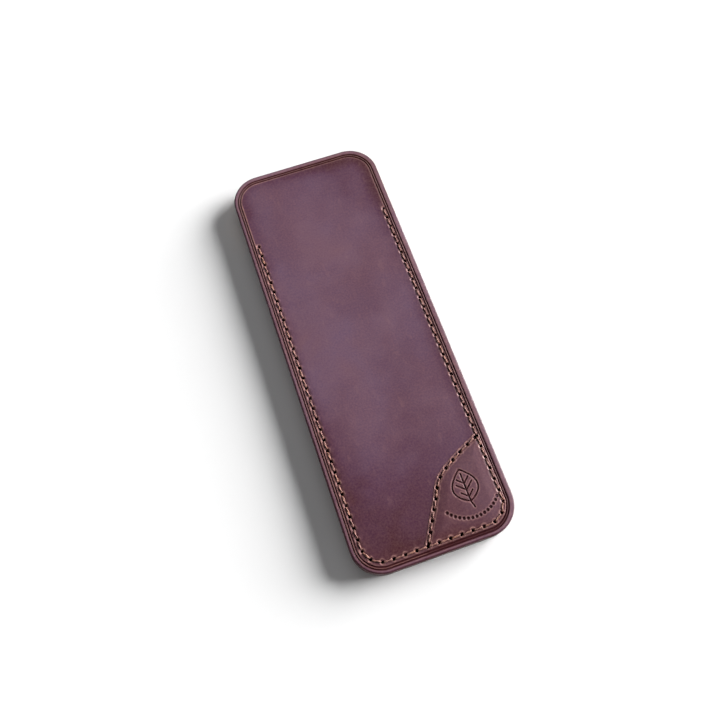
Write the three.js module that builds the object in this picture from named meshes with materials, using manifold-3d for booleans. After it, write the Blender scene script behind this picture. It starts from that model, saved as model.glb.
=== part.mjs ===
// Pocket leather strop: a two-sided strop bat that slides into a flat, saddle-stitched leather sleeve.
// Millimetres, +Z up. The origin lies on the resting face, under the middle of the sleeve's outline,
// and +Y points out of the sleeve's open mouth.
//
// From the resting face upwards: back panel, U-shaped welt with the strop bat between its arms,
// front panel, and a thin corner patch sewn on the front panel.
import * as THREE from 'three';
import { mergeVertices } from 'three/addons/utils/BufferGeometryUtils.js';
import Module from 'manifold-3d';

const wasm = await Module();
wasm.setup();

// Sleeve: outline and layers
const sleeveWidth = 57.5;
const sleeveLength = 157.5;
const cornerRadius = 11;
const panelThickness = 1.75;
const weltThickness = 4;
const weltWidth = 7;
const patchThickness = 0.75;

// Perimeter seam: down one side, round the closed end and up the other side
const seamMargin = 3.75;
const seamDistanceFromMouth = 30;
const perimeterStitches = 74;
const weltPastSeam = 2.75;

// Corner patch and its own curved seam
const patchStitches = 11;
const patchInset = 2.8;
const patchEdgeMargin = 1.2;
const sharedHoleSpacing = 0.95;
const patchSeamSideHole = 24;
const patchSeamBottomHole = 38;

// Thread, its needle holes and the channel that it is sunk in
const threadHalfWidth = 0.25;
const threadHeight = 0.5;
const threadSink = 0.05;
const channelDepth = 0.6;
const channelHalfWidth = 0.75;
const needleHalfLength = 0.45;
const needleHalfWidth = 0.35;
const holeToNeedle = 1.9;

// Strop bat: two leathers on a stiff core, with a head as wide as the sleeve
const batLeatherThickness = 1.25;
const batCoreThickness = 1;
const batSideClearance = 0.5;
const batEndRadius = 3.5;
const shoulderClearance = 0.3;
const shoulderRadius = 1.5;

// Worked out from the dimensions above
const halfWidth = sleeveWidth / 2;
const halfLength = sleeveLength / 2;
const seamTop = halfLength - seamDistanceFromMouth;
const weltTop = seamTop + weltPastSeam;
const weltBase = panelThickness;
const frontBase = weltBase + weltThickness;
const frontFace = frontBase + panelThickness;
const patchFace = frontFace + patchThickness;
const batThickness = 2 * batLeatherThickness + batCoreThickness;
const batBase = weltBase + (weltThickness - batThickness) / 2;
const through = 1;
const arcSegments = 5;
const curveSegments = 24;

// Solids

function prism(shape, bottom, top) {
  const geometry = new THREE.ExtrudeGeometry(shape, {
    depth: top - bottom,
    bevelEnabled: false,
    curveSegments: arcSegments,
  });
  return geometry.translate(0, 0, bottom);
}

function toSolid(geometry) {
  const bare = geometry.clone();
  bare.deleteAttribute('normal');
  bare.deleteAttribute('uv');
  const merged = mergeVertices(bare, 1e-4);
  return new wasm.Manifold(new wasm.Mesh({
    numProp: 3,
    vertProperties: new Float32Array(merged.attributes.position.array),
    triVerts: new Uint32Array(merged.index.array),
  }));
}

function toGeometry(solid) {
  const mesh = solid.getMesh();
  const geometry = new THREE.BufferGeometry();
  geometry.setAttribute('position', new THREE.BufferAttribute(mesh.vertProperties, 3));
  geometry.setIndex(new THREE.BufferAttribute(mesh.triVerts, 1));
  geometry.computeVertexNormals();
  return geometry;
}

function solidPrism(shape, bottom, top) {
  return toSolid(prism(shape, bottom, top));
}

function joined(solids) {
  return solids.reduce((whole, solid) => whole.add(solid));
}

function cutBy(solid, cutters) {
  return cutters.reduce((rest, cutter) => rest.subtract(cutter), solid);
}

// Outlines

function sleeveOutline(inset = 0) {
  const x = halfWidth - inset;
  const y = halfLength - inset;
  const r = cornerRadius - inset;
  const shape = new THREE.Shape();
  shape.moveTo(r - x, -y);
  shape.lineTo(x - r, -y);
  shape.absarc(x - r, r - y, r, -Math.PI / 2, 0);
  shape.lineTo(x, y - r);
  shape.absarc(x - r, y - r, r, 0, Math.PI / 2);
  shape.lineTo(r - x, y);
  shape.absarc(r - x, y - r, r, Math.PI / 2, Math.PI);
  shape.lineTo(-x, r - y);
  shape.absarc(r - x, r - y, r, Math.PI, 1.5 * Math.PI);
  return shape;
}

// A U that follows the sides and the closed end, between two insets from the sleeve's edge.
function uBand(outerInset, innerInset, top) {
  const outer = { x: halfWidth - outerInset, y: halfLength - outerInset, r: cornerRadius - outerInset };
  const inner = { x: halfWidth - innerInset, y: halfLength - innerInset, r: cornerRadius - innerInset };
  const shape = new THREE.Shape();
  shape.moveTo(-outer.x, top);
  shape.lineTo(-outer.x, outer.r - outer.y);
  shape.absarc(outer.r - outer.x, outer.r - outer.y, outer.r, Math.PI, 1.5 * Math.PI);
  shape.lineTo(outer.x - outer.r, -outer.y);
  shape.absarc(outer.x - outer.r, outer.r - outer.y, outer.r, -Math.PI / 2, 0);
  shape.lineTo(outer.x, top);
  shape.lineTo(inner.x, top);
  shape.lineTo(inner.x, inner.r - inner.y);
  shape.absarc(inner.x - inner.r, inner.r - inner.y, inner.r, 0, -Math.PI / 2, true);
  shape.lineTo(inner.r - inner.x, -inner.y);
  shape.absarc(inner.r - inner.x, inner.r - inner.y, inner.r, 1.5 * Math.PI, Math.PI, true);
  shape.lineTo(-inner.x, top);
  return shape;
}

function batOutline() {
  const bladeX = halfWidth - weltWidth - batSideClearance;
  const endY = -halfLength + weltWidth + batSideClearance;
  const shoulderY = weltTop + shoulderClearance;
  const headX = halfWidth;
  const shape = new THREE.Shape();
  shape.moveTo(batEndRadius - bladeX, endY);
  shape.lineTo(bladeX - batEndRadius, endY);
  shape.absarc(bladeX - batEndRadius, endY + batEndRadius, batEndRadius, -Math.PI / 2, 0);
  shape.lineTo(bladeX, shoulderY);
  shape.lineTo(headX - shoulderRadius, shoulderY);
  shape.absarc(headX - shoulderRadius, shoulderY + shoulderRadius, shoulderRadius, -Math.PI / 2, 0);
  shape.lineTo(headX, halfLength - cornerRadius);
  shape.absarc(headX - cornerRadius, halfLength - cornerRadius, cornerRadius, 0, Math.PI / 2);
  shape.lineTo(cornerRadius - headX, halfLength);
  shape.absarc(cornerRadius - headX, halfLength - cornerRadius, cornerRadius, Math.PI / 2, Math.PI);
  shape.lineTo(-headX, shoulderY + shoulderRadius);
  shape.absarc(shoulderRadius - headX, shoulderY + shoulderRadius, shoulderRadius, Math.PI, 1.5 * Math.PI);
  shape.lineTo(-bladeX, shoulderY);
  shape.lineTo(-bladeX, endY + batEndRadius);
  shape.absarc(batEndRadius - bladeX, endY + batEndRadius, batEndRadius, Math.PI, 1.5 * Math.PI);
  return shape;
}

// Seams: each is a list of needle holes, { at, along }, evenly spaced on a curve

function needleHoles(curve, stitches) {
  const holes = [];
  for (let i = 0; i <= stitches; i += 1) {
    holes.push({ at: curve.getPointAt(i / stitches), along: curve.getTangentAt(i / stitches) });
  }
  return holes;
}

function perimeterCurve() {
  const x = halfWidth - seamMargin;
  const y = halfLength - seamMargin;
  const r = cornerRadius - seamMargin;
  const path = new THREE.Path();
  path.moveTo(x, seamTop);
  path.lineTo(x, r - y);
  path.absarc(x - r, r - y, r, 0, -Math.PI / 2, true);
  path.lineTo(r - x, -y);
  path.absarc(r - x, r - y, r, 1.5 * Math.PI, Math.PI, true);
  path.lineTo(-x, seamTop);
  return path;
}

// The patch seam starts beside a needle hole of the side seam and ends beside one of the bottom seam,
// so that both threads share those two holes.
function patchCurve(perimeterHoles) {
  const first = perimeterHoles[patchSeamSideHole].at;
  const last = perimeterHoles[patchSeamBottomHole].at;
  const middle = [
    new THREE.Vector2(halfWidth - 12.75, -halfLength + 28.75),
    new THREE.Vector2(halfWidth - 20.85, -halfLength + 23.6),
    new THREE.Vector2(halfWidth - 25.45, -halfLength + 16.1),
  ];
  const towards = (from, to) => to.clone().sub(from).setLength(sharedHoleSpacing).add(from);
  const start = towards(first, middle[0]);
  const end = towards(last, middle[2]);
  return new THREE.SplineCurve([start, ...middle, end]);
}

function offsetPoint(curve, t, distance) {
  const along = curve.getTangentAt(t);
  const across = new THREE.Vector2(along.y, -along.x);
  return curve.getPointAt(t).addScaledVector(across, distance);
}

function offsetPoints(curve, distance) {
  const points = [];
  for (let i = 0; i <= curveSegments; i += 1) {
    points.push(offsetPoint(curve, i / curveSegments, distance));
  }
  return points;
}

// A band of even width along an open curve, a little longer than the curve at both ends.
function curveBand(curve, halfBand) {
  const startBack = curve.getTangentAt(0).multiplyScalar(-halfBand);
  const endOn = curve.getTangentAt(1).multiplyScalar(halfBand);
  const side = (distance) => [
    offsetPoint(curve, 0, distance).add(startBack),
    ...offsetPoints(curve, distance),
    offsetPoint(curve, 1, distance).add(endOn),
  ];
  return new THREE.Shape([...side(halfBand), ...side(-halfBand).reverse()]);
}

// Everything on the corner's side of the patch's curved edge.
function cornerRegion(curve) {
  const beyond = 20;
  const edge = offsetPoints(curve, patchEdgeMargin);
  const before = curve.getTangentAt(0).multiplyScalar(-beyond).add(edge[0]);
  const after = curve.getTangentAt(1).multiplyScalar(beyond).add(edge[edge.length - 1]);
  const corner = new THREE.Vector2(sleeveWidth, -sleeveLength);
  return new THREE.Shape([before, ...edge, after, corner]);
}

// Thread and needle holes

function lozenge(hole, scale) {
  const along = hole.along.clone().setLength(needleHalfLength * scale);
  const across = new THREE.Vector2(-hole.along.y, hole.along.x).setLength(needleHalfWidth * scale);
  return new THREE.Shape([
    hole.at.clone().add(along),
    hole.at.clone().add(across),
    hole.at.clone().sub(along),
    hole.at.clone().sub(across),
  ]);
}

function holeCutters(holes, bottom, top) {
  return holes.map((hole) => solidPrism(lozenge(hole, holeToNeedle), bottom - through, top + through));
}

function stitchBar(from, to, bottom) {
  const across = new THREE.Vector2(from.y - to.y, to.x - from.x).setLength(threadHalfWidth);
  const shape = new THREE.Shape([
    from.clone().sub(across),
    to.clone().sub(across),
    to.clone().add(across),
    from.clone().add(across),
  ]);
  return solidPrism(shape, bottom, bottom + threadHeight);
}

// One thread: a stitch on the lower side and one on the upper side between neighbouring holes,
// and a vertical run through every hole. topAt gives the face that the upper stitches are sunk in.
function threadSolid(holes, bottomFace, topAt) {
  const lower = bottomFace + threadSink;
  const upper = (a, b) => Math.max(topAt(a), topAt(b)) - threadSink - threadHeight;
  const pieces = [];
  for (let i = 1; i < holes.length; i += 1) {
    const [from, to] = [holes[i - 1].at, holes[i].at];
    pieces.push(stitchBar(from, to, lower));
    pieces.push(stitchBar(from, to, upper(from, to)));
  }
  holes.forEach((hole, i) => {
    const before = holes[Math.max(i - 1, 0)].at;
    const after = holes[Math.min(i + 1, holes.length - 1)].at;
    const top = Math.max(upper(before, hole.at), upper(hole.at, after)) + threadHeight;
    pieces.push(solidPrism(lozenge(hole, 1), lower, top));
  });
  return joined(pieces);
}

// Seams and the shared cutters

const perimeterHoles = needleHoles(perimeterCurve(), perimeterStitches);
const patchSeam = patchCurve(perimeterHoles);
const patchHoles = needleHoles(patchSeam, patchStitches);
const perimeterCutters = holeCutters(perimeterHoles, 0, patchFace);
const patchCutters = holeCutters(patchHoles, frontBase, patchFace);

const patchFootprint = solidPrism(sleeveOutline(patchInset), -through, patchFace + through)
  .intersect(solidPrism(cornerRegion(patchSeam), -through, patchFace + through));

function perimeterChannel(bottom, top) {
  const shape = uBand(seamMargin - channelHalfWidth, seamMargin + channelHalfWidth, seamTop + channelHalfWidth);
  return solidPrism(shape, bottom, top);
}

function patchChannel(bottom, top) {
  return solidPrism(curveBand(patchSeam, channelHalfWidth), bottom, top);
}

// The height of the leather that a stitch lies on: the patch where it covers the front panel.
function sewnFace(point) {
  const probe = new THREE.Shape();
  probe.absarc(point.x, point.y, needleHalfWidth, 0, 2 * Math.PI);
  const covered = !solidPrism(probe, frontFace, patchFace).intersect(patchFootprint).isEmpty();
  return covered ? patchFace : frontFace;
}

// Leather pieces of the sleeve

function backPanel() {
  const plate = solidPrism(sleeveOutline(), 0, panelThickness);
  return cutBy(plate, [perimeterChannel(-through, channelDepth), ...perimeterCutters]);
}

function welt() {
  return cutBy(solidPrism(uBand(0, weltWidth, weltTop), weltBase, frontBase), perimeterCutters);
}

function frontPanel() {
  const plate = solidPrism(sleeveOutline(), frontBase, frontFace);
  const openChannel = perimeterChannel(frontFace - channelDepth, frontFace + through).subtract(patchFootprint);
  const innerChannel = patchChannel(frontBase - through, frontBase + channelDepth);
  return cutBy(plate, [openChannel, innerChannel, ...perimeterCutters, ...patchCutters]);
}

function cornerPatch() {
  const layer = solidPrism(sleeveOutline(), frontFace, patchFace);
  const channelFloor = patchFace - channelDepth;
  return cutBy(layer.intersect(patchFootprint), [
    perimeterChannel(channelFloor, patchFace + through),
    patchChannel(channelFloor, patchFace + through),
    ...perimeterCutters,
    ...patchCutters,
  ]);
}

// Scene graph

const colours = {
  grainLeather: { color: 0x5d3740, roughness: 0.45 },
  patchLeather: { color: 0x6a414a, roughness: 0.45 },
  weltLeather: { color: 0x4d2a2c, roughness: 0.6 },
  thread: { color: 0x8a5648, roughness: 0.6 },
  stropLeather: { color: 0xb98a5c, roughness: 0.5 },
  suede: { color: 0xa98461, roughness: 0.95 },
  core: { color: 0xcdb28a, roughness: 0.7 },
};

function part(name, geometry, finish) {
  const mesh = new THREE.Mesh(geometry, new THREE.MeshStandardMaterial({ ...finish, metalness: 0 }));
  mesh.name = name;
  return mesh;
}

function sleeve() {
  const group = new THREE.Group();
  group.add(part('back_panel', toGeometry(backPanel()), colours.grainLeather));
  group.add(part('welt', toGeometry(welt()), colours.weltLeather));
  group.add(part('front_panel', toGeometry(frontPanel()), colours.grainLeather));
  group.add(part('corner_patch', toGeometry(cornerPatch()), colours.patchLeather));
  const perimeterThread = threadSolid(perimeterHoles, 0, sewnFace);
  group.add(part('perimeter_thread', toGeometry(perimeterThread), colours.thread));
  const patchThread = threadSolid(patchHoles, frontBase, () => patchFace);
  group.add(part('patch_thread', toGeometry(patchThread), colours.thread));
  return group;
}

function stropBat() {
  const coreBase = batBase + batLeatherThickness;
  const smoothBase = coreBase + batCoreThickness;
  const group = new THREE.Group();
  group.add(part('suede_strop_leather', prism(batOutline(), batBase, coreBase), colours.suede));
  group.add(part('strop_core', prism(batOutline(), coreBase, smoothBase), colours.core));
  group.add(part('smooth_strop_leather', prism(batOutline(), smoothBase, batBase + batThickness), colours.stropLeather));
  return group;
}

const group = new THREE.Group();
group.add(sleeve());
group.add(stropBat());

export default group;
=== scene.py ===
"""A pocket leather strop: a two-sided strop bat in a flat, saddle-stitched sleeve with a corner patch.

Lengths are worked out in millimetres in the model's own frame, and become metres when a mesh is made.
The CAD boxes give every main size. The leather pieces are then built with their rounded edges, tooled
creases, sunk seams and needle holes, which the plain CAD solids don't have.
"""

import math

import bpy
import numpy as np
from mathutils import Matrix, Vector


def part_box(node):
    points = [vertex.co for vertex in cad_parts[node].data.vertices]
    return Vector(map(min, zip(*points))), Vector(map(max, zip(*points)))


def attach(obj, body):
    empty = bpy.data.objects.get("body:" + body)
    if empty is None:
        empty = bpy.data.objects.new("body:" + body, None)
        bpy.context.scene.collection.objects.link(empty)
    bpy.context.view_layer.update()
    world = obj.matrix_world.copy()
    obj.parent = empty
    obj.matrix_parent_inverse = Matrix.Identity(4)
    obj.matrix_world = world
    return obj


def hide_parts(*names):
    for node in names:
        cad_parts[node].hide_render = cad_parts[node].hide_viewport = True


MM = 0.001

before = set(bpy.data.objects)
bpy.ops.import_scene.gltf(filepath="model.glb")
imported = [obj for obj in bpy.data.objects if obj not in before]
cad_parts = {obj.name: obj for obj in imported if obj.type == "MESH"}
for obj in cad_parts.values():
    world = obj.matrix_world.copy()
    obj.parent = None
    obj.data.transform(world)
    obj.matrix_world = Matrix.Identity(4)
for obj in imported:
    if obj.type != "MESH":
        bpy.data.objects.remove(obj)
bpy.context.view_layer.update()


def cad_box(node):
    """Lowest and highest corner of a CAD node, in mm."""
    low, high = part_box(node)
    return np.array(low) / MM, np.array(high) / MM


# Sizes that the CAD boxes give
BACK_LOW, BACK_HIGH = cad_box("back_panel")
WELT_LOW, WELT_HIGH = cad_box("welt")
FRONT_LOW, FRONT_HIGH = cad_box("front_panel")
PATCH_LOW, PATCH_HIGH = cad_box("corner_patch")
HALF_WIDTH, HALF_LENGTH = FRONT_HIGH[:2]
FRONT_FACE = FRONT_HIGH[2]
BACK_FACE = BACK_LOW[2]
MID_PLANE = (WELT_LOW[2] + WELT_HIGH[2]) / 2
PATCH_THICKNESS = PATCH_HIGH[2] - PATCH_LOW[2]
PATCH_INSET = HALF_WIDTH - PATCH_HIGH[0]

# The sleeve's corners, which no box shows
CORNER_RADIUS = 11.0

# Perimeter seam
SEAM_MARGIN = 3.75
SEAM_TOP = WELT_HIGH[1] - 2.75
PERIMETER_STITCHES = 74

# Corner patch seam, which shares two places with the perimeter seam
PATCH_STITCHES = 11
PATCH_EDGE_MARGIN = 1.2
SHARED_HOLE_SPACING = 0.95
SIDE_HOLE = 24
BOTTOM_HOLE = 38

# Leather surface: places are measured in from the outline or seam, and radii from a needle hole
EDGE_ROUNDING = 0.65
EDGE_BREAK = 0.16
CREASE_PLACES = (1.76, 2.56)
CREASE_DEPTH = 0.3
CREASE_WIDTH = 0.15
CREASE_OFFSET = 0.3
VALLEY_DEPTH = 0.15
BACK_VALLEY_DEPTH = 0.5
VALLEY_WIDTH = 0.85
LIP_HEIGHT = 0.03
LIP_PLACE = 1.25
LIP_WIDTH = 0.45
RIM_HEIGHT = 0.09
RIM_RADIUS = 0.98
RIM_WIDTH = 0.22
DIMPLE_DEPTH = 0.14
DIMPLE_WIDTH = 0.55
PILLOW_HEIGHT = 0.14
PILLOW_REACH = 12.0
WAVE_HEIGHT = 0.02

# Corner patch: shares of the CAD's thickness at its edge and inside, and the ornament's strokes
SKIVED_SHARE = 0.15
FULL_SHARE = 0.65
SKIVE_WIDTH = 5.5
PATCH_ROUNDING = 0.14
PATCH_EMBEDDING = 0.12
DEBOSS_DEPTH = 0.3
STROKE_HALF_WIDTH = 0.1
STROKE_SLOPE = 0.2
DOT_RADIUS = 0.3

# Welt: a shallow groove along the middle of its edge
GROOVE_DEPTH = 0.12
GROOVE_HALF_WIDTH = 0.12

# Needle holes and thread: a stitch comes up and dives at DIVE_OFFSET from its holes, and PHASE_STEP
# gives each stitch a different turn of its twist
HOLE_HALF_LENGTH = 0.94
HOLE_HALF_WIDTH = 0.62
HOLE_SLANT = math.radians(32)
PLY_RADIUS = 0.16
PLY_SPREAD = 0.15
PLY_FLATNESS = 0.6
DIVE_OFFSET = 0.66
DIVE_DEPTH = 0.45
STITCH_SLANT = 0.14
STITCH_RISE = 0.2
STITCH_CROWN = 0.04
UNDER_STITCH_RISE = 0.05
THREAD_GAP = 0.1
PATCH_THREAD_END = 0.3
TWISTS_PER_STITCH = 1.25
PHASE_STEP = 2.399

# Strop bat: how far the edges of its layers are broken
FACE_BEVEL = 0.2
CORE_BEVEL = 0.1

# Mesh density: the panels' rings run from the outline in to a spine on the centre line
COLUMN_SPACING = 0.3
FINE_STEP = 0.08
BORDER_STEP = 0.16
BORDER_WIDTH = 5.2
INTERIOR_RINGS = 12
SPINE_LIMIT = 60
SPINE_SHARE = 0.8
PATCH_GRID_STEP = 0.15
PATCH_GRID_MARGIN = 1.5


# Small helpers on arrays

def smoothstep(start, end, value):
    """0 before start, 1 after end, and a smooth turn between them."""
    share = np.clip((value - start) / (end - start), 0, 1)
    return share * share * (3 - 2 * share)


def ridge(distance, width):
    """A soft ridge of height 1 where distance is 0."""
    return np.exp(-((distance / width) ** 2))


def along(line, distance):
    """Points at these distances along a line, and the line's direction at each of them."""
    steps = np.hypot(*np.diff(line, axis=0).T)
    reached = np.concatenate([[0], np.cumsum(steps)])

    def at(place):
        return np.stack([np.interp(place, reached, line[:, axis]) for axis in (0, 1)], 1)

    ahead = at(distance + 0.1) - at(distance - 0.1)
    return at(distance), ahead / np.hypot(*ahead.T)[:, None]


def line_length(line):
    return np.hypot(*np.diff(line, axis=0).T).sum()


def smooth_curve(points, steps=24):
    """A curve that runs smoothly through all the points."""
    points = np.array(points, float)
    padded = np.vstack([points[:1], points, points[-1:]])
    t = np.linspace(0, 1, steps, endpoint=False)[:, None]
    pieces = [
        0.5 * (2 * b + (c - a) * t + (2 * a - 5 * b + 4 * c - d) * t**2 + (3 * b - a - 3 * c + d) * t**3)
        for a, b, c, d in zip(padded, padded[1:], padded[2:], padded[3:])
    ]
    return np.vstack(pieces + [points[-1:]])


def distance_to_line(x, y, line):
    """Distance to a line, and which side of it each point lies on: +1 on the left of its direction."""
    nearest = np.full(np.shape(x), np.inf)
    side = np.ones(np.shape(x))
    for (ax, ay), (bx, by) in zip(line, line[1:]):
        dx, dy = bx - ax, by - ay
        share = np.clip(((x - ax) * dx + (y - ay) * dy) / (dx * dx + dy * dy), 0, 1)
        gap = np.hypot(x - ax - share * dx, y - ay - share * dy)
        closer = gap < nearest
        nearest = np.where(closer, gap, nearest)
        side = np.where(closer, np.sign(dx * (y - ay) - dy * (x - ax)), side)
    return nearest, side


def near_points(x, y, points, width):
    """1 at each of the points, falling to 0 within about two widths."""
    total = np.zeros(np.shape(x))
    for px, py in points:
        total = np.maximum(total, np.exp(-((x - px) ** 2 + (y - py) ** 2) / width**2))
    return total


# Seams

def perimeter_seam():
    """From the top stitch on the right, round the closed end, to the top stitch on the left."""
    x = HALF_WIDTH - SEAM_MARGIN
    y = HALF_LENGTH - SEAM_MARGIN
    radius = CORNER_RADIUS - SEAM_MARGIN
    turn = np.linspace(0, np.pi / 2, 40)
    corner = np.stack([x - radius + radius * np.cos(turn), radius - y - radius * np.sin(turn)], 1)
    right = np.vstack([[(x, SEAM_TOP)], corner])
    left = right[::-1] * (-1, 1)
    return np.vstack([right, left])


def seam_holes(line, stitches):
    """Needle holes at equal distances along a seam, and the seam's direction at each."""
    return along(line, np.linspace(0, line_length(line), stitches + 1))


def patch_seam(holes):
    """From the perimeter seam's right side to its bottom, in the S curve of the patch's free edge."""
    side, bottom = holes[SIDE_HOLE], holes[BOTTOM_HOLE]
    middle = [
        (HALF_WIDTH - 12.75, -HALF_LENGTH + 28.75),
        (HALF_WIDTH - 20.85, -HALF_LENGTH + 23.6),
        (HALF_WIDTH - 25.45, -HALF_LENGTH + 16.1),
    ]
    start = shifted_towards(side, middle[0], SHARED_HOLE_SPACING)
    end = shifted_towards(bottom, middle[-1], SHARED_HOLE_SPACING)
    return smooth_curve([start, *middle, end])


def shifted_towards(point, target, distance):
    offset = np.array(target) - point
    return point + offset * distance / np.hypot(*offset)


PERIMETER_LINE = perimeter_seam()
HOLES, HOLE_DIRECTIONS = seam_holes(PERIMETER_LINE, PERIMETER_STITCHES)
PATCH_LINE = patch_seam(HOLES)
PATCH_HOLES, PATCH_DIRECTIONS = seam_holes(PATCH_LINE, PATCH_STITCHES)
ALL_HOLES = np.vstack([HOLES, PATCH_HOLES])


# Surface of the leather

def inset_of(x, y):
    """How far a point lies inside the sleeve's outline."""
    past_x = np.abs(x) - (HALF_WIDTH - CORNER_RADIUS)
    past_y = np.abs(y) - (HALF_LENGTH - CORNER_RADIUS)
    corner = np.hypot(np.maximum(past_x, 0), np.maximum(past_y, 0))
    return CORNER_RADIUS - corner - np.minimum(np.maximum(past_x, past_y), 0)


def crease_inset(x, y):
    """The two tooled lines run round an outline that sits slightly towards one corner."""
    return inset_of(x + CREASE_OFFSET, y + CREASE_OFFSET)


def sewn(y):
    """1 along the sewn part of the border and 0 above the top stitches."""
    return 1 - smoothstep(SEAM_TOP + 0.4, SEAM_TOP + 1.8, y)


def edge_drop(inset, rounding):
    """How far a rounded edge has fallen below the face."""
    left = np.clip(rounding - inset, 0, rounding)
    return rounding - np.sqrt(rounding**2 - left**2)


def border_relief(x, y, valley_depth):
    """Rounded edge, tooled creases, sunk seam with its lips, and dimples at the needle holes."""
    inset = inset_of(x, y)
    crease = crease_inset(x, y)
    height = -edge_drop(inset, EDGE_ROUNDING)
    for place in CREASE_PLACES:
        height = height - CREASE_DEPTH * ridge(crease - place, CREASE_WIDTH)
    seam = inset - SEAM_MARGIN
    sunk = -valley_depth * ridge(seam, VALLEY_WIDTH) + LIP_HEIGHT * ridge(seam - LIP_PLACE, LIP_WIDTH)
    height = height + sewn(y) * sunk
    return height + puckers(x, y, HOLES)


def puckers(x, y, holes):
    """The thread pulls the leather down at each needle hole, inside a low torn rim."""
    nearest = np.full(np.shape(x), np.inf)
    for hole_x, hole_y in holes:
        nearest = np.minimum(nearest, np.hypot(x - hole_x, y - hole_y))
    rim = RIM_HEIGHT * ridge(nearest - RIM_RADIUS, RIM_WIDTH)
    return rim - DIMPLE_DEPTH * ridge(nearest, DIMPLE_WIDTH)


def front_relief(x, y):
    """The front panel's face above its nominal plane: swollen by the filled pocket, and gently uneven."""
    from_seam = inset_of(x, y) - SEAM_MARGIN
    swell = smoothstep(0.5, PILLOW_REACH, from_seam) * (1 - 0.6 * smoothstep(SEAM_TOP, HALF_LENGTH, y))
    waves = np.sin(x / 7.3 + y / 19) + np.sin(y / 13.7 - x / 23 + 1.3) + 0.5 * np.sin(x / 3.9 - y / 8.1)
    uneven = WAVE_HEIGHT * waves * smoothstep(0, 3, from_seam)
    return border_relief(x, y, VALLEY_DEPTH) + PILLOW_HEIGHT * swell + uneven


def back_relief(x, y):
    """The back panel's face, measured outwards, with a seam so deep that no stitch stands out of it."""
    return border_relief(x, y, BACK_VALLEY_DEPTH)


def on_patch(x, y):
    """How far a point lies inside the patch's outline, below 0 outside it."""
    gap, side = distance_to_line(x, y, PATCH_LINE)
    return np.minimum(inset_of(x, y) - PATCH_INSET, PATCH_EDGE_MARGIN + gap * side)


def patch_relief(x, y):
    """The patch's face above the front panel's plane: skived edges, its own sunk seam, the ornament."""
    gap, _ = distance_to_line(x, y, PATCH_LINE)
    inside = on_patch(x, y)
    share = SKIVED_SHARE + (FULL_SHARE - SKIVED_SHARE) * smoothstep(0, SKIVE_WIDTH, inside)
    skived = PATCH_THICKNESS * share
    rounded = -edge_drop(inside.clip(0), PATCH_ROUNDING)
    seam = -VALLEY_DEPTH * ridge(gap, VALLEY_WIDTH) + puckers(x, y, PATCH_HOLES)
    slope = smoothstep(STROKE_HALF_WIDTH, STROKE_HALF_WIDTH + STROKE_SLOPE, ornament_distance(x, y))
    deboss = -DEBOSS_DEPTH * (1 - slope)
    return front_relief(x, y) + skived + rounded + seam + deboss


def front_height(x, y):
    return FRONT_FACE + front_relief(x, y)


def patch_height(x, y):
    return FRONT_FACE + patch_relief(x, y)


def top_height(x, y):
    """Height of the sleeve's upper face, on the patch or beside it."""
    return np.where(on_patch(x, y) > 0, patch_height(x, y), front_height(x, y))


def bottom_height(x, y):
    return BACK_FACE - back_relief(x, y)


# The patch's debossed ornament: a plain leaf over an arc of dots

ORNAMENT_CENTRE = (HALF_WIDTH - 14.15, -HALF_LENGTH + 17.6)


def leaf_strokes():
    """The leaf's outline, stalk, midrib and three pairs of veins, about its own centre."""
    leaf_foot, leaf_length, half_width = -4.6, 11, 4.4
    share = np.linspace(0, 1, 24)
    outline_x = half_width * np.sin(np.pi * share**0.85) ** 0.9
    outline_y = leaf_foot + leaf_length * share
    strokes = [np.stack([side * outline_x, outline_y], 1) for side in (-1, 1)]
    stalk_end, midrib_end = (0.7, -6.9), (0.0, 5.0)
    strokes.append(np.array([stalk_end, (0.0, leaf_foot), midrib_end]))
    middle_vein = -0.8
    for base in (middle_vein - 2.3, middle_vein, middle_vein + 2.3):
        reach = 2.7 - 0.3 * abs(base - middle_vein)
        for side in (-1, 1):
            strokes.append(np.array([(0, base), (side * reach, base + 0.9 * reach)]))
    return strokes


def dot_arc():
    """Points of the arc of dots under the leaf."""
    radius, centre_y = 11.6, 1.6
    angles = np.radians(np.linspace(-50, 50, 15))
    return np.stack([radius * np.sin(angles), centre_y - radius * np.cos(angles)], 1)


def ornament_distance(x, y):
    """Distance to the nearest stroke or dot edge of the ornament."""
    local_x, local_y = x - ORNAMENT_CENTRE[0], y - ORNAMENT_CENTRE[1]
    nearest = np.full(np.shape(x), np.inf)
    for stroke in leaf_strokes():
        nearest = np.minimum(nearest, distance_to_line(local_x, local_y, stroke)[0])
    for px, py in dot_arc():
        nearest = np.minimum(nearest, np.hypot(local_x - px, local_y - py) - DOT_RADIUS)
    return nearest


# Meshes

def new_object(name, vertices, faces):
    """An object from vertices in mm."""
    mesh = bpy.data.meshes.new(name)
    mesh.from_pydata((np.asarray(vertices) * MM).tolist(), [], faces)
    mesh.validate()
    made = bpy.data.objects.new(name, mesh)
    bpy.context.scene.collection.objects.link(made)
    return made


def positions(obj):
    """An object's vertices in mm, as three arrays."""
    flat = np.zeros(len(obj.data.vertices) * 3)
    obj.data.vertices.foreach_get("co", flat)
    return (flat.reshape(-1, 3) / MM).T


def apply_modifiers(obj):
    """Makes the result of the modifiers the object's own mesh."""
    graph = bpy.context.evaluated_depsgraph_get()
    result = bpy.data.meshes.new_from_object(obj.evaluated_get(graph))
    old = obj.data
    obj.modifiers.clear()
    obj.data = result
    bpy.data.meshes.remove(old)


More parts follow.
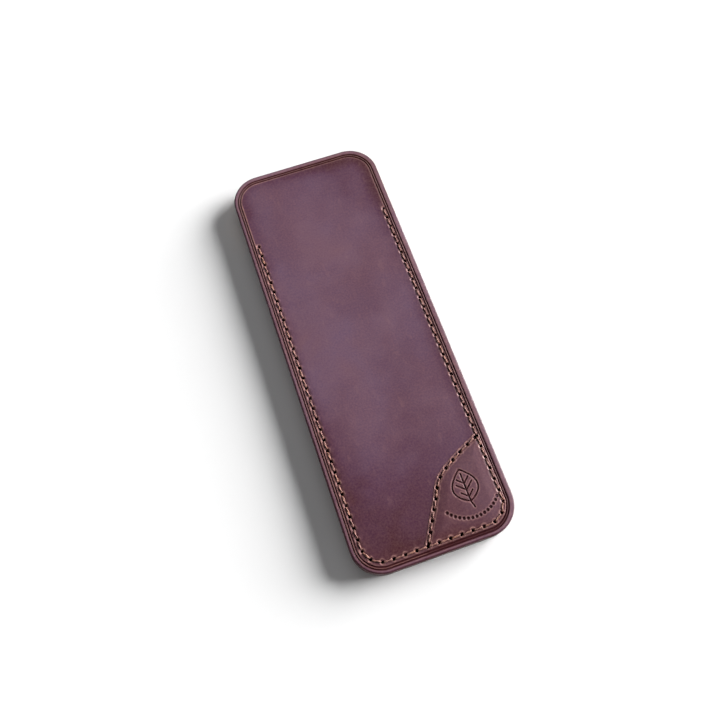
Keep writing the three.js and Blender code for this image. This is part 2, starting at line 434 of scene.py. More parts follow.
def boolean(obj, cutters, operation):
    """Cuts obj by closed cutters, or keeps what lies inside them, and removes the cutters."""
    for cutter in cutters:
        modifier = obj.modifiers.new("cut", "BOOLEAN")
        modifier.operation = operation
        modifier.solver = "MANIFOLD"
        modifier.object = cutter
    apply_modifiers(obj)
    for cutter in cutters:
        bpy.data.objects.remove(cutter)


def set_attribute(obj, name, values):
    attribute = obj.data.attributes.new(name, "FLOAT", "POINT")
    attribute.data.foreach_set("value", np.asarray(values, np.float32))


def shade(obj, sharp_degrees=40):
    obj.data.shade_smooth()
    obj.data.set_sharp_from_angle(angle=math.radians(sharp_degrees))


def finished(obj, material, body, slot, *nodes):
    """Gives a piece its material, and its place in the model."""
    obj.data.materials.clear()
    obj.data.materials.append(material)
    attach(obj, body)
    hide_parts(*nodes)
    return obj


def ring_faces(rings, columns):
    """Quads between neighbouring rings of columns, each ring closed on itself."""
    ring, column = np.meshgrid(np.arange(rings - 1), np.arange(columns), indexing="ij")
    after = (column + 1) % columns
    quads = np.stack(
        [ring * columns + column, ring * columns + after,
         (ring + 1) * columns + after, (ring + 1) * columns + column], -1)
    return quads.reshape(-1, 4)


def swept_faces(rings, columns):
    """The faces of a closed sweep: quads between its rings, and a cap at each end."""
    last = (rings - 1) * columns
    caps = [list(range(columns))[::-1], [last + k for k in range(columns)]]
    return ring_faces(rings, columns).tolist() + caps


def merged(vertices, faces):
    """Joins vertices that share a place, and drops what has then become degenerate."""
    _, first, index = np.unique(np.round(vertices, 5), axis=0, return_index=True, return_inverse=True)
    index = index.reshape(-1)
    kept = []
    for face in index[faces]:
        corners = list(dict.fromkeys(face.tolist()))
        if len(corners) > 2:
            kept.append(corners)
    return vertices[first], kept


def outline_columns():
    """Points round the sleeve's outline, right top corner first, and the outward normal of each."""
    centre = np.array([HALF_WIDTH - CORNER_RADIUS, HALF_LENGTH - CORNER_RADIUS])
    signs = np.array([(1, 1), (-1, 1), (-1, -1), (1, -1)])
    arc_columns = round((CORNER_RADIUS - SEAM_MARGIN) * np.pi / 2 / COLUMN_SPACING)
    points, normals = [], []
    for quarter in range(4):
        here, following = signs[quarter] * centre, signs[(quarter + 1) % 4] * centre
        turn = (quarter + np.linspace(0, 1, arc_columns, endpoint=False)) * np.pi / 2
        normal = np.stack([np.cos(turn), np.sin(turn)], 1)
        points.append(here + CORNER_RADIUS * normal)
        normals.append(normal)
        straight_columns = round(np.hypot(*(following - here)) / COLUMN_SPACING)
        share = np.linspace(0, 1, straight_columns, endpoint=False)[:, None]
        ahead = np.array([math.cos((quarter + 1) * np.pi / 2), math.sin((quarter + 1) * np.pi / 2)])
        points.append(here + (following - here) * share + CORNER_RADIUS * ahead)
        normals.append(np.repeat(ahead[None], straight_columns, 0))
    return np.vstack(points), np.vstack(normals)


def border_insets():
    """Closely spaced insets over the border: finer still round the outer edge."""
    turn = np.linspace(0, np.pi / 2, 8)
    rounded = EDGE_ROUNDING * (1 - np.cos(turn))
    creased = np.arange(EDGE_ROUNDING + FINE_STEP, CREASE_PLACES[-1] + 0.4, FINE_STEP)
    rest = np.arange(creased[-1] + BORDER_STEP, BORDER_WIDTH, BORDER_STEP)
    return np.concatenate([rounded, creased, rest])


def face_rings(points, normals):
    """Rings of (x, y) from the outline in to the spine of the panel, following the creases."""
    rings = []
    for inset in border_insets():
        follow = smoothstep(0.6, 1.3, inset) * (1 - smoothstep(2.9, 3.5, inset))
        rings.append(points - inset * normals - CREASE_OFFSET * follow)
    border_end = rings[-1]
    spine_y = np.clip(points[:, 1], -SPINE_LIMIT, SPINE_LIMIT) * SPINE_SHARE
    spine = np.stack([np.zeros(len(points)), spine_y], 1)
    for share in np.linspace(0, 1, INTERIOR_RINGS)[1:] ** 1.2:
        rings.append(border_end * (1 - share) + spine * share)
    return rings


def panel(name, height, inner_z, face_down):
    """A leather panel: a detailed outer face by a height function, a wall, and a flat inner face."""
    points, normals = outline_columns()
    rings = face_rings(points, normals)
    stack = [np.column_stack([ring, height(*ring.T)]) for ring in rings[::-1]]
    towards_face = -1 if face_down else 1
    for inset, lift in ((0.0, EDGE_BREAK), (0.14, 0.0), (SEAM_MARGIN, 0.0)):
        level = np.full(len(points), inner_z + towards_face * lift)
        stack.append(np.column_stack([points - inset * normals, level]))
    stack.append(np.column_stack([rings[-1], np.full(len(points), inner_z)]))
    faces = ring_faces(len(stack), len(points))
    if face_down:
        faces = faces[:, ::-1]
    return new_object(name, *merged(np.vstack(stack), faces))


def lozenge_cutters(name, holes, directions, low, high):
    """Slanted lozenge prisms, one at each needle hole."""
    corners = np.array([(1, 0), (0, 1), (-1, 0), (0, -1)]) * (HOLE_HALF_LENGTH, HOLE_HALF_WIDTH)
    vertices, faces = [], []
    for hole, direction in zip(holes, directions):
        angle = math.atan2(direction[1], direction[0]) + HOLE_SLANT
        turn = np.array([(math.cos(angle), math.sin(angle)), (-math.sin(angle), math.cos(angle))])
        ring = corners @ turn + hole
        base = len(vertices)
        vertices += [(*corner, z) for z in (low, high) for corner in ring]
        faces += [[base + 3, base + 2, base + 1, base], [base + 4, base + 5, base + 6, base + 7]]
        faces += [[base + k, base + (k + 1) % 4, base + (k + 1) % 4 + 4, base + k + 4] for k in range(4)]
    return new_object(name, np.array(vertices), faces)


def pierce(obj, low, high, with_patch_seam):
    """Cuts the needle holes through a piece."""
    cutters = [lozenge_cutters("perimeter_needles", HOLES, HOLE_DIRECTIONS, low, high)]
    if with_patch_seam:
        cutters.append(lozenge_cutters("patch_needles", PATCH_HOLES, PATCH_DIRECTIONS, low, high))
    boolean(obj, cutters, "DIFFERENCE")


def warmth(x, y):
    """Where the leather is darker and redder: the lower left end, the border, the burnished edge, and
    painted shade over the right side.
    """
    inset = inset_of(x, y)
    within_edge = smoothstep(1, 2, inset)
    low_end = smoothstep(-2, 118, -y * (1 - x / 35))
    high_end = 0.3 * smoothstep(40, 80, y) + 0.2 * smoothstep(60, 100, y + x)
    # Painted shade: the right side of the face is darkened.
    right_side_shade = 0.2 * smoothstep(-15, 20, x)
    face = (low_end + high_end + right_side_shade) * (0.45 + 0.55 * within_edge)
    border = 0.45 * within_edge * (1 - smoothstep(3, 9, inset))
    burnished = 0.7 * (1 - smoothstep(0.3, 0.8, inset))
    return np.clip(face + border + burnished, 0, 1)


def set_marks(obj, painted_highlight, shade_and_dark_edge, holes, depth):
    """Stores the painted highlights, with glints round the needle holes, the painted shade and dark edge,
    with the holes made dark, and where the colour is warmer.

    The walls of a needle hole are told from the face by their depth below it.
    """
    x, y, _ = positions(obj)
    # Painted shade inside the needle holes.
    hole_shade = near_points(x, y, holes, 0.8) * (depth > 0.05)
    # Painted glints round the needle holes, set a little off their centres.
    rim = 0.8 * ridge(near_points(x, y - 0.2, holes, 1.0) - 0.5, 0.16)
    set_attribute(obj, "painted_highlight", np.clip(painted_highlight + rim - hole_shade, 0, 1))
    set_attribute(obj, "shade_and_dark_edge", np.clip(shade_and_dark_edge + hole_shade, 0, 1))
    set_attribute(obj, "warm", warmth(x, y))


def border_marks(x, y):
    """Painted highlights and shade round a panel's border: highlights on the outer band, the bead between
    the tooled lines and the seam's lips, painted shade in the tooled lines and seam, and a dark outer
    edge that is partly burnished and partly painted shade.
    """
    inset = inset_of(x, y)
    crease = crease_inset(x, y)
    seam = inset - SEAM_MARGIN
    # Painted highlights on the outer band, the bead between the tooled lines and the inner lip; the lip's
    # grows stronger to the left and fades towards the closed end.
    outer_band_highlight = smoothstep(0.5, 0.9, inset) * (1 - smoothstep(1.2, 1.6, crease))
    highlight_strength = 0.3 + 0.7 * smoothstep(-70, -25, y)
    inner_lip_highlight = highlight_strength * (0.45 + 0.8 * smoothstep(5, 25, -x)) * ridge(crease - 3.02, 0.2)
    bead_highlight = ridge(crease - sum(CREASE_PLACES) / 2, 0.16)
    painted_highlight = 0.32 * outer_band_highlight + 0.8 * bead_highlight + inner_lip_highlight
    # Painted highlights on the lips either side of the seam.
    painted_highlight = painted_highlight + sewn(y) * (0.35 * highlight_strength * ridge(seam + 0.6, 0.15) + 0.12 * ridge(seam - 0.9, 0.3))
    # Painted shade in the tooled lines and the sunk seam, and a dark outer edge, partly burnished and
    # partly painted shade.
    shade_and_dark_edge = 0.95 * (1 - smoothstep(0.1, 0.45, inset)) + 0.3 * sewn(y) * ridge(seam, 0.5)
    for place in CREASE_PLACES:
        shade_and_dark_edge = shade_and_dark_edge + 2.2 * ridge(crease - place, 0.25)
    return painted_highlight, shade_and_dark_edge


def patch_marks(x, y):
    """Painted highlights and shade on the patch: highlights on the ridges beside its seams and ornament,
    and painted shade in its grooves.
    """
    gap, _ = distance_to_line(x, y, PATCH_LINE)
    seam = inset_of(x, y) - SEAM_MARGIN
    mark = ornament_distance(x, y)
    # Painted highlights on the lips beside the seams and round the ornament's strokes.
    painted_highlight = 0.5 * ridge(seam + 0.75, 0.2) + 0.12 * ridge(seam - 0.9, 0.3)
    painted_highlight = painted_highlight + 0.45 * ridge(gap - 0.85, 0.25) + 0.5 * ridge(mark - 0.5, 0.16)
    # Painted shade in the ornament's strokes and dots and in the sunk seams.
    shade_and_dark_edge = 1.1 * (1 - smoothstep(0.14, 0.34, mark)) + 0.3 * ridge(seam, 0.5) + 0.3 * ridge(gap, 0.5)
    return painted_highlight, shade_and_dark_edge


def patch_edge_shadow(x, y):
    """A painted shadow: the dark strip over the tooled lines, along the patch's outer edge."""
    gap, side = distance_to_line(x, y, PATCH_LINE)
    inset = inset_of(x, y)
    strip = smoothstep(1.3, 1.6, inset) * (1 - smoothstep(2.7, 3.0, inset))
    return strip * smoothstep(0, 5, side * gap)


def front_panel(material):
    obj = panel("front_panel_leather", front_height, FRONT_LOW[2], face_down=False)
    pierce(obj, FRONT_LOW[2] - 1, FRONT_FACE + 2, with_patch_seam=True)
    x, y, z = positions(obj)
    painted_highlight, shade_and_dark_edge = border_marks(x, y)
    # Painted shadow beside the patch: it takes away the painted highlights there and deepens the painted
    # shade.
    strip = patch_edge_shadow(x, y)
    set_marks(obj, painted_highlight * (1 - strip), shade_and_dark_edge + 0.45 * strip, HOLES, front_height(x, y) - z)
    shade(obj)
    return finished(obj, material, "sleeve", "sleeve_leather", "front_panel")


def back_panel(material):
    obj = panel("back_panel_leather", bottom_height, BACK_HIGH[2], face_down=True)
    pierce(obj, BACK_FACE - 1, BACK_HIGH[2] + 1, with_patch_seam=False)
    x, y, z = positions(obj)
    painted_highlight, shade_and_dark_edge = border_marks(x, y)
    set_marks(obj, painted_highlight, shade_and_dark_edge, HOLES, z - bottom_height(x, y))
    shade(obj)
    return finished(obj, material, "sleeve", "sleeve_leather", "back_panel")


def prism(name, outline, low, high):
    """A closed prism over a polygon that runs anticlockwise."""
    count = len(outline)
    vertices = [(*point, z) for z in (low, high) for point in outline]
    faces = [list(range(count))[::-1], list(range(count, 2 * count))]
    faces += [[k, (k + 1) % count, (k + 1) % count + count, k + count] for k in range(count)]
    return new_object(name, np.array(vertices), faces)


def patch_side_outline():
    """The region on the corner's side of the patch's free edge, carried on past the sleeve's outline."""
    _, ahead = along(PATCH_LINE, np.linspace(0, line_length(PATCH_LINE), len(PATCH_LINE)))
    across = np.stack([ahead[:, 1], -ahead[:, 0]], 1)
    edge = PATCH_LINE + PATCH_EDGE_MARGIN * across
    run_on = 6
    start = edge[0] - run_on * ahead[0]
    end = edge[-1] + run_on * ahead[-1]
    far_x, far_y = HALF_WIDTH + 8, -HALF_LENGTH - 8
    return np.vstack([[start], edge, [end], [(end[0], far_y)], [(far_x, far_y)], [(far_x, start[1])]])


def slab_faces(x_cells, y_cells):
    """The faces of a closed slab over a grid: its top, its underside and the wall round them."""
    columns = x_cells + 1
    count = columns * (y_cells + 1)
    row, column = np.meshgrid(np.arange(y_cells), np.arange(x_cells), indexing="ij")
    corner = (row * columns + column).ravel()
    sheet = np.stack([corner, corner + 1, corner + columns + 1, corner + columns], 1)
    rim = np.concatenate([
        np.arange(columns), np.arange(1, y_cells + 1) * columns + x_cells,
        y_cells * columns + np.arange(x_cells)[::-1], np.arange(1, y_cells)[::-1] * columns])
    following = np.roll(rim, -1)
    wall = np.stack([rim + count, following + count, following, rim], 1)
    return np.vstack([sheet, sheet[:, ::-1] + count, wall]).tolist()


def patch_slab():
    """A dense sheet that covers the patch's box, with its relief on top, let into the front panel."""
    width, height = PATCH_HIGH[:2] - PATCH_LOW[:2] + 2 * PATCH_GRID_MARGIN
    x_cells = round(width / PATCH_GRID_STEP)
    y_cells = round(height / PATCH_GRID_STEP)
    xs = PATCH_LOW[0] - PATCH_GRID_MARGIN + np.arange(x_cells + 1) * PATCH_GRID_STEP
    ys = PATCH_LOW[1] - PATCH_GRID_MARGIN + np.arange(y_cells + 1) * PATCH_GRID_STEP
    x, y = (grid.ravel() for grid in np.meshgrid(xs, ys))
    top = np.column_stack([x, y, patch_height(x, y)])
    under = np.column_stack([x, y, front_height(x, y) - PATCH_EMBEDDING])
    return new_object("corner_patch_leather", np.vstack([top, under]), slab_faces(x_cells, y_cells))


def corner_patch(material):
    points, normals = outline_columns()
    obj = patch_slab()
    low, high = FRONT_FACE - 3, FRONT_FACE + 4
    regions = [prism("patch_border", points - PATCH_INSET * normals, low, high),
               prism("patch_side", patch_side_outline(), low, high)]
    boolean(obj, regions, "INTERSECT")
    pierce(obj, low, high, with_patch_seam=True)
    x, y, z = positions(obj)
    painted_highlight, shade_and_dark_edge = patch_marks(x, y)
    set_marks(obj, painted_highlight, shade_and_dark_edge, ALL_HOLES, patch_height(x, y) - z)
    shade(obj)
    return finished(obj, material, "sleeve", "patch_leather", "corner_patch")


def welt_columns():
    """The part of the sleeve's outline that the welt follows, down one side and up the other."""
    points, normals = outline_columns()
    wanted = points[:, 1] < WELT_HIGH[1] - 0.2
    start = int(np.argmax(wanted & ~np.roll(wanted, 1)))
    order = [(start + k) % len(points) for k in range(int(wanted.sum()))]
    points, normals = points[order], normals[order]
    for end in (0, -1):
        points[end, 1] = WELT_HIGH[1]
    return points, normals


def welt_section():
    """The welt's section, as corners of (inset, z), with its broken edges and its groove."""
    low, high = WELT_LOW[2], WELT_HIGH[2]
    width = CORNER_RADIUS - SEAM_MARGIN
    groove_side = GROOVE_DEPTH / 3
    return [
        (width, low), (EDGE_BREAK, low), (0.0, low + EDGE_BREAK),
        (groove_side, MID_PLANE - GROOVE_HALF_WIDTH),
        (GROOVE_DEPTH, MID_PLANE),
        (groove_side, MID_PLANE + GROOVE_HALF_WIDTH),
        (0.0, high - EDGE_BREAK), (EDGE_BREAK, high), (width, high),
    ]


def welt(material):
    """The U-shaped spacer between the panels: a grooved strip swept along the sides and closed end."""
    points, normals = welt_columns()
    section = welt_section()
    vertices = []
    for point, normal in zip(points, normals):
        vertices += [(*(point - inset * normal), z) for inset, z in section]
    obj = new_object("welt_leather", np.array(vertices), swept_faces(len(points), len(section)))
    pierce(obj, WELT_LOW[2] - 1, WELT_HIGH[2] + 1, with_patch_seam=False)
    x, y, _ = positions(obj)
    set_attribute(obj, "shade_and_dark_edge", np.where(inset_of(x, y) < 0.3, 0.35, 0.1))
    shade(obj)
    return finished(obj, material, "sleeve", "welt_leather", "welt")


# Thread

def tube(centres, side, up, width, thickness, sides=7):
    """A closed tube of elliptic section along the centres."""
    turn = np.linspace(0, 2 * np.pi, sides, endpoint=False)
    ring = np.cos(turn)[:, None, None] * side * width + np.sin(turn)[:, None, None] * up * thickness
    vertices = (centres + ring).transpose(1, 0, 2).reshape(-1, 3)
    return vertices, swept_faces(len(centres), sides)


def stitch_path(start, end, surface, depth):
    """A stitch's centre line: up out of one hole, along the leather and down the next hole."""
    length = np.hypot(*(end - start))
    outward = np.sign(surface - depth)
    rise = [
        (DIVE_OFFSET - 0.12, depth),
        (DIVE_OFFSET - 0.05, surface - DIVE_DEPTH * outward),
        (DIVE_OFFSET + 0.35, surface),
    ]
    dive = [(length - place, height) for place, height in rise[::-1]]
    crown = (0.5 * length, surface + STITCH_CROWN * outward)
    profile = smooth_curve([*rise, crown, *dive], steps=6)
    return np.column_stack([start + profile[:, :1] * (end - start) / length, profile[:, 1]])


def stitch(start, end, surface, depth, phase):
    """Two plies twisted round each other along one stitch."""
    ahead = (end - start) / np.hypot(*(end - start))
    across = np.array([ahead[1], -ahead[0]])
    centres = stitch_path(start + STITCH_SLANT * across, end - STITCH_SLANT * across, surface, depth)
    direction = np.gradient(centres, axis=0)
    direction = direction / np.linalg.norm(direction, axis=1)[:, None]
    side = np.repeat([(*across, 0.0)], len(centres), 0)
    up = np.cross(side, direction)
    twist = phase + np.linspace(0, 2 * np.pi * TWISTS_PER_STITCH, len(centres))[:, None]
    meshes = []
    for ply in (0, np.pi):
        offset = PLY_SPREAD * (np.cos(twist + ply) * side + PLY_FLATNESS * np.sin(twist + ply) * up)
        meshes.append(tube(centres + offset, side, up, PLY_RADIUS, PLY_RADIUS * 0.85))
    return meshes


def joined(meshes):
    """One list of vertices and faces from many."""
    vertices, faces, count = [], [], 0
    for part_vertices, part_faces in meshes:
        vertices.append(part_vertices)
        faces += [[corner + count for corner in face] for face in part_faces]
        count += len(part_vertices)
    return np.vstack(vertices), faces


def upper_stitch_height(x, y):
    return top_height(x, y) + STITCH_RISE


def lower_stitch_height(x, y):
    return bottom_height(x, y) - UNDER_STITCH_RISE


def seam_stitches(holes, height, depth, phase):
    """Every stitch of a seam at that height over one face, its ends in the holes down to that depth."""
    meshes = []
    for index, (start, end) in enumerate(zip(holes, holes[1:])):
        surface = float(height(*(start + end) / 2))
        meshes += stitch(start, end, surface, depth, PHASE_STEP * index + phase)
    return meshes


def seam_thread(name, meshes, material, node):
    obj = new_object(name, *joined(meshes))
    shade(obj, 60)
    return finished(obj, material, "sleeve", "thread", node)


def perimeter_thread(material):
    """Saddle stitches through the whole sleeve, which nearly meet at its mid-plane."""
    above = seam_stitches(HOLES, upper_stitch_height, MID_PLANE + THREAD_GAP, phase=0)
    below = seam_stitches(HOLES, lower_stitch_height, MID_PLANE - THREAD_GAP, phase=1)
    return seam_thread("perimeter_stitches", above + below, material, "perimeter_thread")


def patch_thread(material):
    """Stitches through the patch and the front panel only, so that the pocket stays open."""
    above = seam_stitches(PATCH_HOLES, upper_stitch_height, FRONT_LOW[2] + PATCH_THREAD_END, phase=0)
    return seam_thread("patch_stitches", above, material, "patch_thread")


# Strop bat

def bevelled_layer(name, node, bevel, material, slot):
    """A layer of the bat with the CAD node's outline and slightly broken edges.

    The copy loses the node's own labels, so that it isn't taken for a CAD node.
    """
    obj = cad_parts[node].copy()
    obj.data = obj.data.copy()
    obj.name = name
    obj.parent = None
    for key in list(obj.keys()):
        del obj[key]
    bpy.context.scene.collection.objects.link(obj)
    weld = obj.modifiers.new("weld", "WELD")
    weld.merge_threshold = 0.01 * MM
    flat = obj.modifiers.new("flat", "DECIMATE")
    flat.decimate_type = "DISSOLVE"
    flat.angle_limit = math.radians(1)
    edges = obj.modifiers.new("edges", "BEVEL")
    edges.width = bevel * MM
    edges.segments = 3
    edges.limit_method = "ANGLE"
    edges.angle_limit = math.radians(60)
    apply_modifiers(obj)
    shade(obj, 50)
    return finished(obj, material, "strop_bat", slot, node)


# Materials

# Colour of the painted shade in tooled lines, seams and needle holes, and of the dark outer edge.
SHADE_AND_EDGE_COLOUR = "3c0b10"


def colour(code):
    """A linear colour from a screen colour such as "7a5560"."""
    parts = [int(code[k:k + 2], 16) / 255 for k in (0, 2, 4)]
    return [*(p / 12.92 if p <= 0.04045 else ((p + 0.055) / 1.055) ** 2.4 for p in parts), 1]


class Nodes:
    """Builds one material's node tree."""

    def __init__(self, name):
        self.material = bpy.data.materials.new(name)
        self.material.use_nodes = True
        self.tree = self.material.node_tree
        self.shader = self.tree.nodes["Principled BSDF"]
        self.coordinates = self.tree.nodes.new("ShaderNodeTexCoord").outputs["Object"]

    def add(self, kind, inputs, **settings):
        """A node with its settings, and its inputs set to a value or linked to an output."""
        node = self.tree.nodes.new(kind)
        for key, value in settings.items():
            setattr(node, key, value)
        for key, value in inputs.items():
            self.feed(node.inputs[key], value)
        return node

    def feed(self, socket, value):
        if isinstance(value, bpy.types.NodeSocket):
            self.tree.links.new(value, socket)
        else:
            socket.default_value = value

    def stretched(self, stretch, turn=0.0):
        """The coordinates, scaled and turned about Z, for marks that run one way."""
        mapping = self.add("ShaderNodeMapping", {
            "Vector": self.coordinates, "Scale": stretch, "Rotation": (0, 0, turn)})
        return mapping.outputs["Vector"]

    def noise(self, size, detail, roughness, vector=None, distortion=0.0):
        """Noise with features of that size in mm, from 0 to 1."""
        node = self.add("ShaderNodeTexNoise", {
            "Vector": vector or self.coordinates, "Scale": 1 / (size * MM), "Detail": detail,
            "Roughness": roughness, "Distortion": distortion})
        return node.outputs["Fac"]

    def cells(self, size):
        """The distance from the middle of cells of that size in mm."""
        node = self.add("ShaderNodeTexVoronoi", {"Vector": self.coordinates, "Scale": 1 / (size * MM)})
        return node.outputs["Distance"]

    def span(self, value, low, high, to_low=0.0, to_high=1.0):
        """Maps low..high to another range, and holds it inside that range."""
        node = self.add("ShaderNodeMapRange", {
            "Value": value, "From Min": low, "From Max": high, "To Min": to_low, "To Max": to_high})
        return node.outputs["Result"]

    def maths(self, operation, first, second):
        node = self.add("ShaderNodeMath", {0: first, 1: second}, operation=operation)
        return node.outputs["Value"]

    def mix(self, share, first, second):
        """The first colour where share is 0, and the second where it is 1."""
        colour_a, colour_b, colour_out = 6, 7, 2
        inputs = {"Factor": share, colour_a: first, colour_b: second}
        return self.add("ShaderNodeMix", inputs, data_type="RGBA").outputs[colour_out]

    def attribute(self, name):
        return self.add("ShaderNodeAttribute", {}, attribute_name=name).outputs["Fac"]

    def bump(self, height, distance, strength, below=None):
        """Bumps of that height in mm, on top of another bump."""
        node = self.add("ShaderNodeBump", {
            "Height": height, "Distance": distance * MM, "Strength": strength})
        if below is not None:
            self.feed(node.inputs["Normal"], below)
        return node.outputs["Normal"]

    def surface(self, **sockets):
        """Sets or links the shader's own sockets."""
        for name, value in sockets.items():
            self.feed(self.shader.inputs[name.replace("_", " ")], value)
        return self.material


def pull_up_colour(n, main, second, deep, warm, light):
    """Mottled colour that deepens and warms with the warm mark, with faint specks and scuffs."""
    clouds = n.noise(34, 4, 0.6, distortion=0.6)
    uneven = n.span(n.noise(17, 3, 0.55), 0.35, 0.65, -0.18, 0.18)
    tone = n.maths("ADD", n.attribute("warm"), uneven)
    specks = n.noise(0.7, 3, 0.6)
    scuffs = n.noise(2.6, 2, 0.5, vector=n.stretched((1, 0.4, 1), 0.5))
    base = n.mix(n.span(clouds, 0.38, 0.62), colour(main), colour(second))
    base = n.mix(n.span(tone, 0, 0.65), base, colour(deep))
    base = n.mix(n.span(tone, 0.6, 1.1), base, colour(warm))
    base = n.mix(n.span(specks, 0.35, 0.7, 0, 0.1), base, colour(light))
    return n.mix(n.span(scuffs, 0.62, 0.75, 0, 0.07), base, colour(light))


def sleeve_leather(name, light, **colours):
    """Waxed pull-up leather: mottled colour, painted highlights on ridges and round needle holes, painted
    shade in tooled lines, seams and holes, a dark edge, fine pores.
    """
    n = Nodes(name)
    painted_highlight = n.maths("MULTIPLY", n.attribute("painted_highlight"), n.span(n.noise(1.6, 3, 0.6), 0.3, 0.65, 0.35, 1))
    shade_and_dark_edge = n.attribute("shade_and_dark_edge")
    base = pull_up_colour(n, light=light, **colours)
    # Painted highlights in the light colour, broken up by noise; then painted shade and the dark edge in
    # the dark colour.
    base = n.mix(n.maths("MULTIPLY", painted_highlight, 0.85), base, colour(light))
    base = n.mix(n.maths("MULTIPLY", shade_and_dark_edge, 0.95), base, colour(SHADE_AND_EDGE_COLOUR))
    roughness = n.span(n.noise(3.2, 3, 0.6), 0.3, 0.7, 0.42, 0.54)
    roughness = n.maths("ADD", roughness, n.maths("MULTIPLY", shade_and_dark_edge, 0.08))
    normal = n.bump(n.noise(9, 3, 0.5), 0.05, 0.5)
    normal = n.bump(n.noise(0.6, 2, 0.5), 0.03, 0.7, below=normal)
    normal = n.bump(n.cells(0.55), 0.02, 0.5, below=normal)
    n.shader.inputs["Specular IOR Level"].default_value = 0.3
    return n.surface(Base_Color=base, Roughness=roughness, Normal=normal)


def edge_leather(name, main, dark):
    """The welt: the same hide, with burnished edges that show faint lines along the layers."""
    n = Nodes(name)
    lines = n.noise(1.2, 3, 0.6, vector=n.stretched((0.2, 0.2, 2)))
    base = n.mix(n.span(lines, 0.3, 0.7, 0, 0.7), colour(main), colour(dark))
    base = n.mix(n.maths("MULTIPLY", n.attribute("shade_and_dark_edge"), 0.6), base, colour(dark))
    roughness = n.span(lines, 0.3, 0.7, 0.4, 0.52)
    normal = n.bump(lines, 0.03, 0.5)
    normal = n.bump(n.noise(0.7, 2, 0.5), 0.02, 0.6, below=normal)
    n.shader.inputs["Specular IOR Level"].default_value = 0.3
    return n.surface(Base_Color=base, Roughness=roughness, Normal=normal)


def waxed_thread():
    """Waxed linen thread: fibres along each ply, darker where wax and dye gather."""
    n = Nodes("waxed_thread")
    fibres = n.noise(0.35, 3, 0.6)
    wear = n.noise(5, 3, 0.6)
    base = n.mix(n.span(fibres, 0.3, 0.7), colour("7c5048"), colour("ad8177"))
    base = n.mix(n.span(wear, 0.45, 0.65, 0, 0.45), base, colour("6a3d35"))
    base = n.mix(n.span(wear, 0.5, 0.35, 0, 0.5), base, colour("b27a55"))
    normal = n.bump(fibres, 0.05, 0.7)
    return n.surface(Base_Color=base, Roughness=n.span(wear, 0.3, 0.7, 0.45, 0.6), Normal=normal)


def smooth_strop_leather():
    """Vegetable-tanned leather, with smears of grey honing compound rubbed along the bat."""
    n = Nodes("smooth_strop_leather")
    clouds = n.noise(11, 4, 0.6)
    grain = n.noise(0.9, 3, 0.6)
    smears = n.noise(9, 3, 0.6, vector=n.stretched((1, 0.22, 1)))
    base = n.mix(n.span(clouds, 0.35, 0.65), colour("b0805a"), colour("99694a"))
    base = n.mix(n.span(grain, 0.35, 0.7, 0, 0.3), base, colour("7d5238"))
    base = n.mix(n.span(smears, 0.5, 0.75, 0, 0.6), base, colour("595450"))
    roughness = n.span(smears, 0.35, 0.7, 0.42, 0.66)
    normal = n.bump(n.cells(0.6), 0.03, 0.6)
    normal = n.bump(grain, 0.04, 0.6, below=normal)
    return n.surface(Base_Color=base, Roughness=roughness, Normal=normal)


def suede():
    """The suede side: a short nap that scatters light, with darker brushed tracks."""
    n = Nodes("suede")
    nap = n.noise(0.45, 4, 0.7)
    tracks = n.noise(7, 3, 0.6, vector=n.stretched((1, 0.3, 1), 0.3))
    base = n.mix(n.span(nap, 0.3, 0.7), colour("6e4a3a"), colour("946a54"))
    base = n.mix(n.span(tracks, 0.45, 0.7, 0, 0.4), base, colour("5a3c30"))
    n.shader.inputs["Sheen Weight"].default_value = 0.4
    n.shader.inputs["Sheen Roughness"].default_value = 0.5
    roughness = n.span(nap, 0.3, 0.7, 0.85, 0.98)
    return n.surface(Base_Color=base, Roughness=roughness, Normal=n.bump(nap, 0.1, 0.8))


def core_board():
    """The thin plywood core, seen only along its edge."""
    n = Nodes("core_board")
    grain = n.noise(1.4, 4, 0.6, vector=n.stretched((1, 0.06, 2.5)))
    base = n.mix(n.span(grain, 0.35, 0.65), colour("b08c62"), colour("86643f"))
    roughness = n.span(grain, 0.3, 0.7, 0.5, 0.7)
    return n.surface(Base_Color=base, Roughness=roughness, Normal=n.bump(grain, 0.05, 0.6))


# Stage, light and camera

def pale_floor():
    """A wide matt floor of nearly even white."""
    bpy.ops.mesh.primitive_plane_add(size=40)
    floor = bpy.context.object
    floor.name = "floor"
    n = Nodes("floor_paint")
    tone = n.noise(60, 2, 0.5)
    base = n.mix(n.span(tone, 0.3, 0.7), colour("fbfbfb"), colour("f8f8f8"))
    floor.data.materials.append(n.surface(Base_Color=base, Roughness=0.9))
    n.shader.inputs["Specular IOR Level"].default_value = 0.1


def area_light(name, place, target, size, power, tint):
    """A soft square light at a place in mm, aimed at a target in mm."""
    light = bpy.data.lights.new(name, "AREA")
    light.shape = "SQUARE"
    light.size = size * MM
    light.energy = power
    light.color = tint
    obj = bpy.data.objects.new(name, light)
    bpy.context.scene.collection.objects.link(obj)
    place, target = Vector(place) * MM, Vector(target) * MM
    obj.matrix_world = aimed(place, target, roll=0)


def soft_sun(name, elevation, azimuth, spread, strength):
    """An even light from far off, with all angles in degrees: azimuth runs from +X towards +Y."""
    light = bpy.data.lights.new(name, "SUN")
    light.angle = math.radians(spread)
    light.energy = strength
    obj = bpy.data.objects.new(name, light)
    bpy.context.scene.collection.objects.link(obj)
    level, turn = math.radians(elevation), math.radians(azimuth)
    place = Vector((math.cos(level) * math.cos(turn), math.cos(level) * math.sin(turn), math.sin(level)))
    obj.matrix_world = aimed(place, Vector((0, 0, 0)), roll=0)


def aimed(place, target, roll):
    """The matrix of a camera or light at place that looks at target, turned by roll about its view."""
    facing = (target - place).to_track_quat("-Z", "Y").to_matrix().to_4x4()
    return Matrix.Translation(place) @ facing @ Matrix.Rotation(roll, 4, "Z")


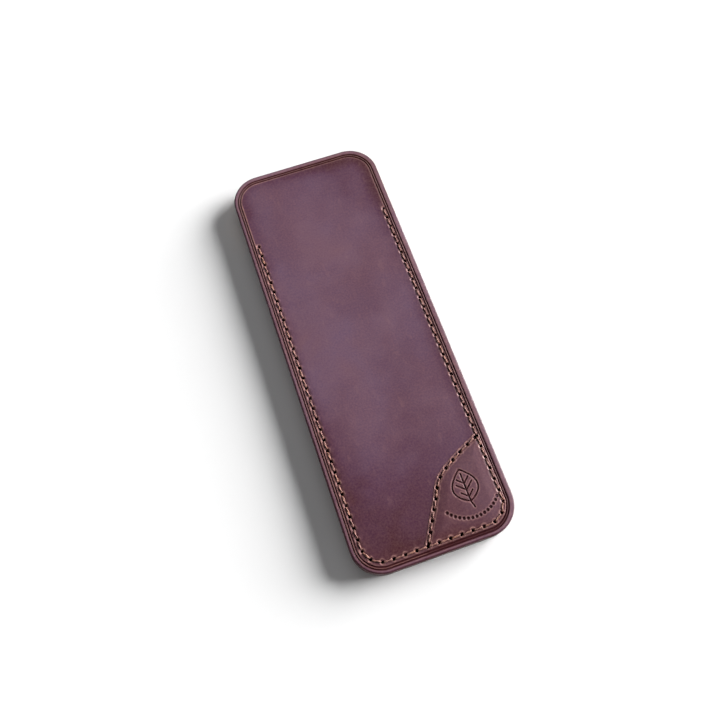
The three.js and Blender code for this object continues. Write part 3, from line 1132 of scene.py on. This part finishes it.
def photo_camera():
    """The photograph's viewpoint: steep, from the closed end and a little to the left."""
    data = bpy.data.cameras.new("photo_camera")
    data.lens = 37.0
    data.sensor_width = 36.0
    data.clip_start = 0.01
    camera = bpy.data.objects.new("photo_camera", data)
    bpy.context.scene.collection.objects.link(camera)
    place = Vector((-31.08, -90.96, 255.36)) * MM
    target = Vector((-3.74, -6.56, 7.5)) * MM
    camera.matrix_world = aimed(place, target, roll=math.radians(-1.24))
    bpy.context.scene.camera = camera


def pale_room():
    """A room that is pale round the floor and dark overhead."""
    world = bpy.data.worlds.new("pale_room")
    world.use_nodes = True
    tree = world.node_tree
    direction = tree.nodes.new("ShaderNodeTexCoord").outputs["Generated"]
    split = tree.nodes.new("ShaderNodeSeparateXYZ")
    fade = tree.nodes.new("ShaderNodeMapRange")
    fade.interpolation_type = "SMOOTHSTEP"
    for name, value in {"From Min": 0.2, "From Max": 0.6, "To Min": 0.8, "To Max": 0.02}.items():
        fade.inputs[name].default_value = value
    tree.links.new(direction, split.inputs["Vector"])
    tree.links.new(split.outputs["Z"], fade.inputs["Value"])
    tree.links.new(fade.outputs["Result"], tree.nodes["Background"].inputs["Strength"])
    tree.nodes["Background"].inputs["Color"].default_value = (1, 1, 1, 1)
    bpy.context.scene.world = world


def studio():
    """Plain soft light: a low key that throws the shadow to the left, and a faint light overhead."""
    pale_room()
    soft_sun("key", elevation=16, azimuth=8, spread=46, strength=10.5)
    area_light("overhead", place=(110, 330, 620), target=(0, 0, 5), size=520,
               power=0.42, tint=(0.97, 0.97, 1.0))
    bpy.context.scene.view_settings.view_transform = "Standard"


def build():
    main_leather = sleeve_leather("sleeve_leather", main="63495f", second="694a59",
                                  deep="4f2d43", warm="421a25", light="ba8a80")
    patch_leather = sleeve_leather("patch_leather", main="5d3f4d", second="5b3d4a",
                                   deep="583541", warm="4a1f28", light="ba8a80")
    thread = waxed_thread()
    tan_leather = smooth_strop_leather()
    front_panel(main_leather)
    back_panel(main_leather)
    corner_patch(patch_leather)
    welt(edge_leather("welt_leather", main="52282a", dark="33141a"))
    perimeter_thread(thread)
    patch_thread(thread)
    bevelled_layer("smooth_strop_face", "smooth_strop_leather", FACE_BEVEL, tan_leather, "strop_leather")
    bevelled_layer("strop_core_board", "strop_core", CORE_BEVEL, core_board(), "core_board")
    bevelled_layer("suede_strop_face", "suede_strop_leather", FACE_BEVEL, suede(), "suede")


build()
pale_floor()
studio()
photo_camera()
